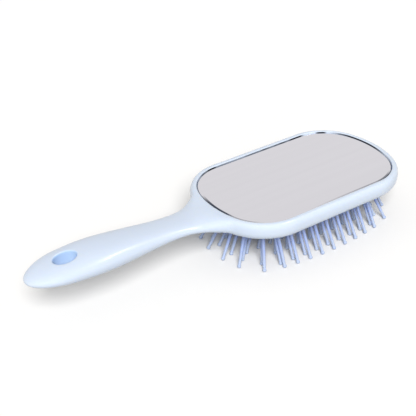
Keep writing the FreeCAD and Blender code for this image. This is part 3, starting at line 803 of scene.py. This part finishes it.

# %% [markdown]
# ## Finish of the pins: tinted nylon
# The pins are glossy, let some light through and are thinner towards the tip. There their colour is painted
# lighter, as painted light for the light that falls more on the tips. They are solids already, so the finish goes
# into their slots.

# %% Pin nylon
pin_nylon, recipe = finish("blue_nylon")
batch = recipe.noise(45.0, 1.0)
scuff = recipe.noise(700.0, 3.0, (1.0, 1.0, 0.3))
z = recipe.axes()[2]
# Painted light: the pins are coloured lighter towards their tips, where more light falls.
lit_tip_share = 0.75 * recipe.step(z, 13.0 * MM, 2.0 * MM)
nylon = recipe.blend(batch, from_screen(153, 172, 221), from_screen(168, 185, 229))
recipe.surface(
    Base_Color=recipe.blend(lit_tip_share, nylon, from_screen(194, 207, 231)),
    Roughness=0.26 + 0.14 * scuff,
    Normal=recipe.bump(scuff, 0.00002, 0.4),
    Subsurface_Weight=0.35,
    Subsurface_Radius=(0.0012, 0.0014, 0.002),
    Subsurface_Scale=1.0,
)


def wear(node, material):
    """Puts a finish into every slot of a solid."""
    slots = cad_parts[node].material_slots
    for slot in slots:
        slot.link = "OBJECT"
        slot.material = material
    return len(slots)


pin_nodes = [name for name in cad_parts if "_pins" in name]
print("pin solids dressed:", sum(wear(name, pin_nylon) for name in pin_nodes))

# %% [markdown]
# ## Finish of the mirror
# The mirror is silvered glass: it shows what is around it, a little darker than it is, with the faint lines that
# wiping leaves along it. Its bevelled edge carries the painted shade line, and painted glints, near white, where the
# bevel turns towards the light. Along the front the rim hides that edge, and a fine dark band is painted on the
# glass inside it, as painted shade for the gap under the rim.

# %% Mirror
PAINTED_GLINTS = [(1.0, (39.0, 34.0), 6.0), (1.0, (52.0, 27.0), 6.5)]
GAP_SHADE_PLACES = [(0.3, (40.0, -33.0), 9.0), (0.45, (-55.0, -17.0), 15.0)]
GAP_SHADE_END = [(1.0, (-59.0, -0.5), 15.0)]
silver, recipe = finish("silvered_glass")
wipe = recipe.noise(5.0, 3.0, (0.6, 40.0, 1.0))
x, y = recipe.axes()[:2]
MIRROR_CORNER = 25.5
mirror_reach, mirror_side = (mirror_high - mirror_low)[:2] / 2 * MM
way = way_inside(x, y, mirror_reach - BULGE * MM, mirror_side, MIRROR_CORNER * MM, BULGE * MM)
edge = recipe.step(way, 0.7 * MM, 0.4 * MM)
# Painted glints: the bevel is coloured near white at two places, standing in for reflected light.
painted_glint = recipe.step(marks(recipe, x, y, PAINTED_GLINTS), 0.45, 0.6)
face = recipe.blend(wipe, from_screen(210, 208, 213), from_screen(216, 214, 219))
# Painted shade and reflection: the bevel carries the painted shade line.
line = recipe.blend(painted_shade_line(recipe, x, y), face, from_screen(40, 46, 58))
bevel = recipe.blend(painted_glint, line, from_screen(250, 250, 252))
# Painted shade: a fine dark band on the glass just inside the rim, strongest at the handle's end, for the gap's
# shade.
front = recipe.step(y, -28 * MM, -32 * MM) * recipe.step(x, *from_centre(-24, 32))
gap_shade = (0.5 * front + marks(recipe, x, y, GAP_SHADE_PLACES)) * recipe.step(way, 1.9 * MM, 1.3 * MM)
gap_shade = gap_shade + marks(recipe, x, y, GAP_SHADE_END) * recipe.step(way, 2.1 * MM, 1.6 * MM)
gap_shade = x.math("MINIMUM", gap_shade, 1.0)
recipe.surface(
    Base_Color=recipe.blend(gap_shade, recipe.blend(edge, face, bevel), from_screen(52, 60, 76)),
    Metallic=1.0,
    Roughness=0.02 + 0.02 * wipe,
)

# %% [markdown]
# ## Finish of film and tape
# Behind the glass are a grey protective film, printed with a fine grain, and strips of white foam tape with open
# cells. Both are hidden once the mirror is in, but they are there when it is taken out.

# %% Film and tape
film, recipe = finish("grey_film")
speck = recipe.noise(800.0, 3.0)
recipe.surface(
    Base_Color=recipe.blend(speck, from_screen(92, 95, 100), from_screen(112, 115, 120)),
    Roughness=0.5 + 0.2 * speck,
)
foam, recipe = finish("white_foam")
cells = recipe.noise(2200.0, 3.0)
recipe.surface(
    Base_Color=recipe.blend(cells, from_screen(214, 214, 208), from_screen(240, 240, 236)),
    Roughness=0.85,
    Normal=recipe.bump(cells, 0.0001, 0.8),
)
wear("mirror", silver)
wear("mirror_backing", film)
for end in ("handle_end", "middle", "far_end"):
    wear("mirror_tape_" + end, foam)

# %% [markdown]
# ## Floor and surroundings
# A pale table, as in a plain studio. Table and surroundings are white where they are seen or mirrored. The light
# that the table bounces is kept lower, so that the underside of the brush stays in shade, and the surroundings
# are dimmer as a light, so that the lamp below can cast a shadow. The table's white is a touch warm, because the
# brush throws some of its blue on it.

# %% Floor and surroundings
FLOOR_REACH = 4.0
SEEN_WHITE = (1, 0.99, 0.975, 1)
BOUNCE_LOW, BOUNCE_HIGH = (0.43, 0.43, 0.415, 1), (0.45, 0.45, 0.435, 1)
floor_mesh = bpy.data.meshes.new("floor")
floor_corners = FLOOR_REACH * np.array([(-1, -1, 0), (1, -1, 0), (1, 1, 0), (-1, 1, 0)])
floor_mesh.from_pydata(floor_corners.tolist(), [], [(0, 1, 2, 3)])
floor = bpy.data.objects.new("floor", floor_mesh)
bpy.context.scene.collection.objects.link(floor)


def seen_directly(recipe):
    """1 where a ray comes from the camera, or from a glossy or clear surface, and 0 where it carries soft light."""
    rays = [recipe.add("LightPath", out=name) for name in ("Is Camera Ray", "Is Glossy Ray", "Is Transmission Ray")]
    return rays[0].math("MAXIMUM", rays[0], rays[1].math("MAXIMUM", rays[1], rays[2]))


table, recipe = finish("white_table")
seen = seen_directly(recipe)
cloudy = recipe.noise(3.0, 2.0)
colour = recipe.blend(seen, recipe.blend(cloudy, BOUNCE_LOW, BOUNCE_HIGH), SEEN_WHITE)
shade = recipe.add("BsdfDiffuse", sockets={"Color": colour})
recipe.add("OutputMaterial", sockets={"Surface": shade})
floor_mesh.materials.append(table)

SKY = 0.40
world = bpy.data.worlds.new("studio")
bpy.context.scene.world = world
recipe = Recipe(world)
direct = seen_directly(recipe)
sky = recipe.add("Background", sockets={"Color": (1, 1, 1, 1), "Strength": SKY + (1 - SKY) * direct})
recipe.add("OutputWorld", sockets={"Surface": sky})
print("share of the light that comes from all round: %.2f" % SKY)

# %% [markdown]
# ## Lamps
# A sun with a wide disc shines from the front. It lights every part of the floor equally, so the floor stays an
# even white, and its shadow is soft. A strip light gives the glossy plastic one long highlight. It is seen only
# in reflections, and the sun only as light, so that each does one thing.

# %% Lamps
SUN_DISC = math.radians(26)
FLOOR_LEVEL = 1.03  # light on the open floor; from 1 on, a white floor shows as white
sun_data = bpy.data.lights.new("front_light", "SUN")
sun_data.angle = SUN_DISC
light_way = Vector((0.60, 0.95, -1.0)).normalized()
sun_data.energy = (FLOOR_LEVEL - SKY) * math.pi / -light_way.z
sun = bpy.data.objects.new("front_light", sun_data)
sun.rotation_euler = light_way.to_track_quat("-Z", "Y").to_euler()
sun.visible_glossy = False
bpy.context.scene.collection.objects.link(sun)

STRIP_SIZE, STRIP_WATTS, STRIP_AWAY = (0.30, 0.08), 1.2, 0.8
GRIP_MIDDLE = Vector((-0.0607, 0.0, 0.03))
strip_data = bpy.data.lights.new("strip_light", "AREA")
strip_data.shape = "RECTANGLE"
strip_data.size, strip_data.size_y = STRIP_SIZE
strip_data.energy = STRIP_WATTS
strip = bpy.data.objects.new("strip_light", strip_data)
strip_way = Vector((0.50, -0.24, 0.835)).normalized()
strip.location = GRIP_MIDDLE + STRIP_AWAY * strip_way
strip.rotation_euler = (-strip_way).to_track_quat("-Z", "Y").to_euler()
strip.visible_diffuse = False
bpy.context.scene.collection.objects.link(strip)
print("sun %.2f W per square metre, strip light %.1f W" % (sun_data.energy, strip_data.energy))

# %% [markdown]
# ## Camera
# The camera looks down at the brush from the handle's side through a long lens, which keeps the far end of the
# head almost as large as the near one.

# %% Camera
LENS, SENSOR = 90.0, 36.0
CAMERA_PLACE, CAMERA_WAY = (-0.2908, -0.3846, 0.3314), (0.5032, 0.6826, -0.5299)
camera_data = bpy.data.cameras.new("camera")
camera_data.lens = LENS
camera_data.sensor_width = SENSOR
camera = bpy.data.objects.new("camera", camera_data)
camera.location = CAMERA_PLACE
camera.rotation_euler = Vector(CAMERA_WAY).to_track_quat("-Z", "Y").to_euler()
bpy.context.scene.collection.objects.link(camera)
bpy.context.scene.camera = camera
bpy.context.scene.view_settings.view_transform = "Standard"
print("camera %.0f mm from the middle of the brush" % (camera.location.length / MM))

# %% [markdown]
# ## The rubber's own meshes
# The cushion and the collars each get a copy of their mesh, for them alone.

# %% Own meshes for the rubber
for soft in (cushion, collars):
    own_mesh(soft)
